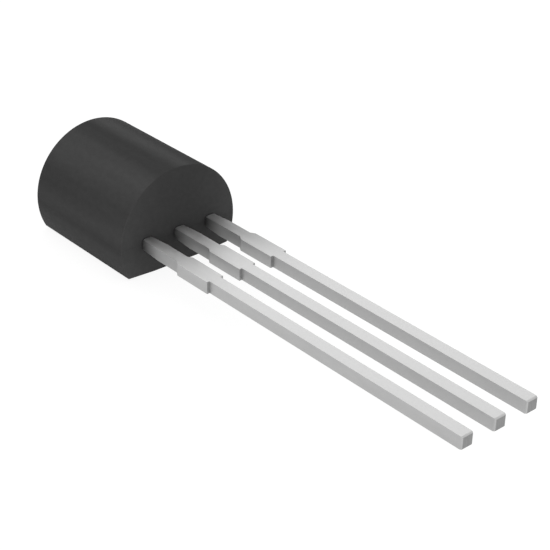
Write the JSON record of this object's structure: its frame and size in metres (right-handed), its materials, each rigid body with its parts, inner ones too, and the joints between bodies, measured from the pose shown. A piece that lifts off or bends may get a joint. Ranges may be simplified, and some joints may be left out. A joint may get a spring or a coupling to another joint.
{
  "type": "to-92 transistor",
  "caption": "Through-hole transistor: a black moulded body with a D-shaped section, and a row of straight tinned leads with dam-bar stubs, lying on its flat.",
  "frame": {"origin": "centre of the flat that the body lies on", "axes": "+Z out of the flat towards the round back, -Y along the leads from the body to their tips, +X across the row of leads towards the emitter lead"},
  "size_m": [0.0046, 0.0187, 0.0034],
  "materials": {
    "moulded_epoxy": "dark grey moulded epoxy, fine matt skin",
    "tinned_strip": "matt tin plate on a stamped copper-alloy strip",
    "silicon": "sawn and passivated silicon, opaque",
    "solder": "dull soft solder",
    "gold_wire": "drawn gold wire, bright"
  },
  "bodies": {
    "root": {"moulded_body": "moulded_epoxy", "emitter_lead": "tinned_strip", "collector_lead": "tinned_strip", "base_lead": "tinned_strip", "silicon_die": "silicon", "die_attach": "solder", "base_bond_wire": "gold_wire", "emitter_bond_wire": "gold_wire"}
  },
  "joints": []
}
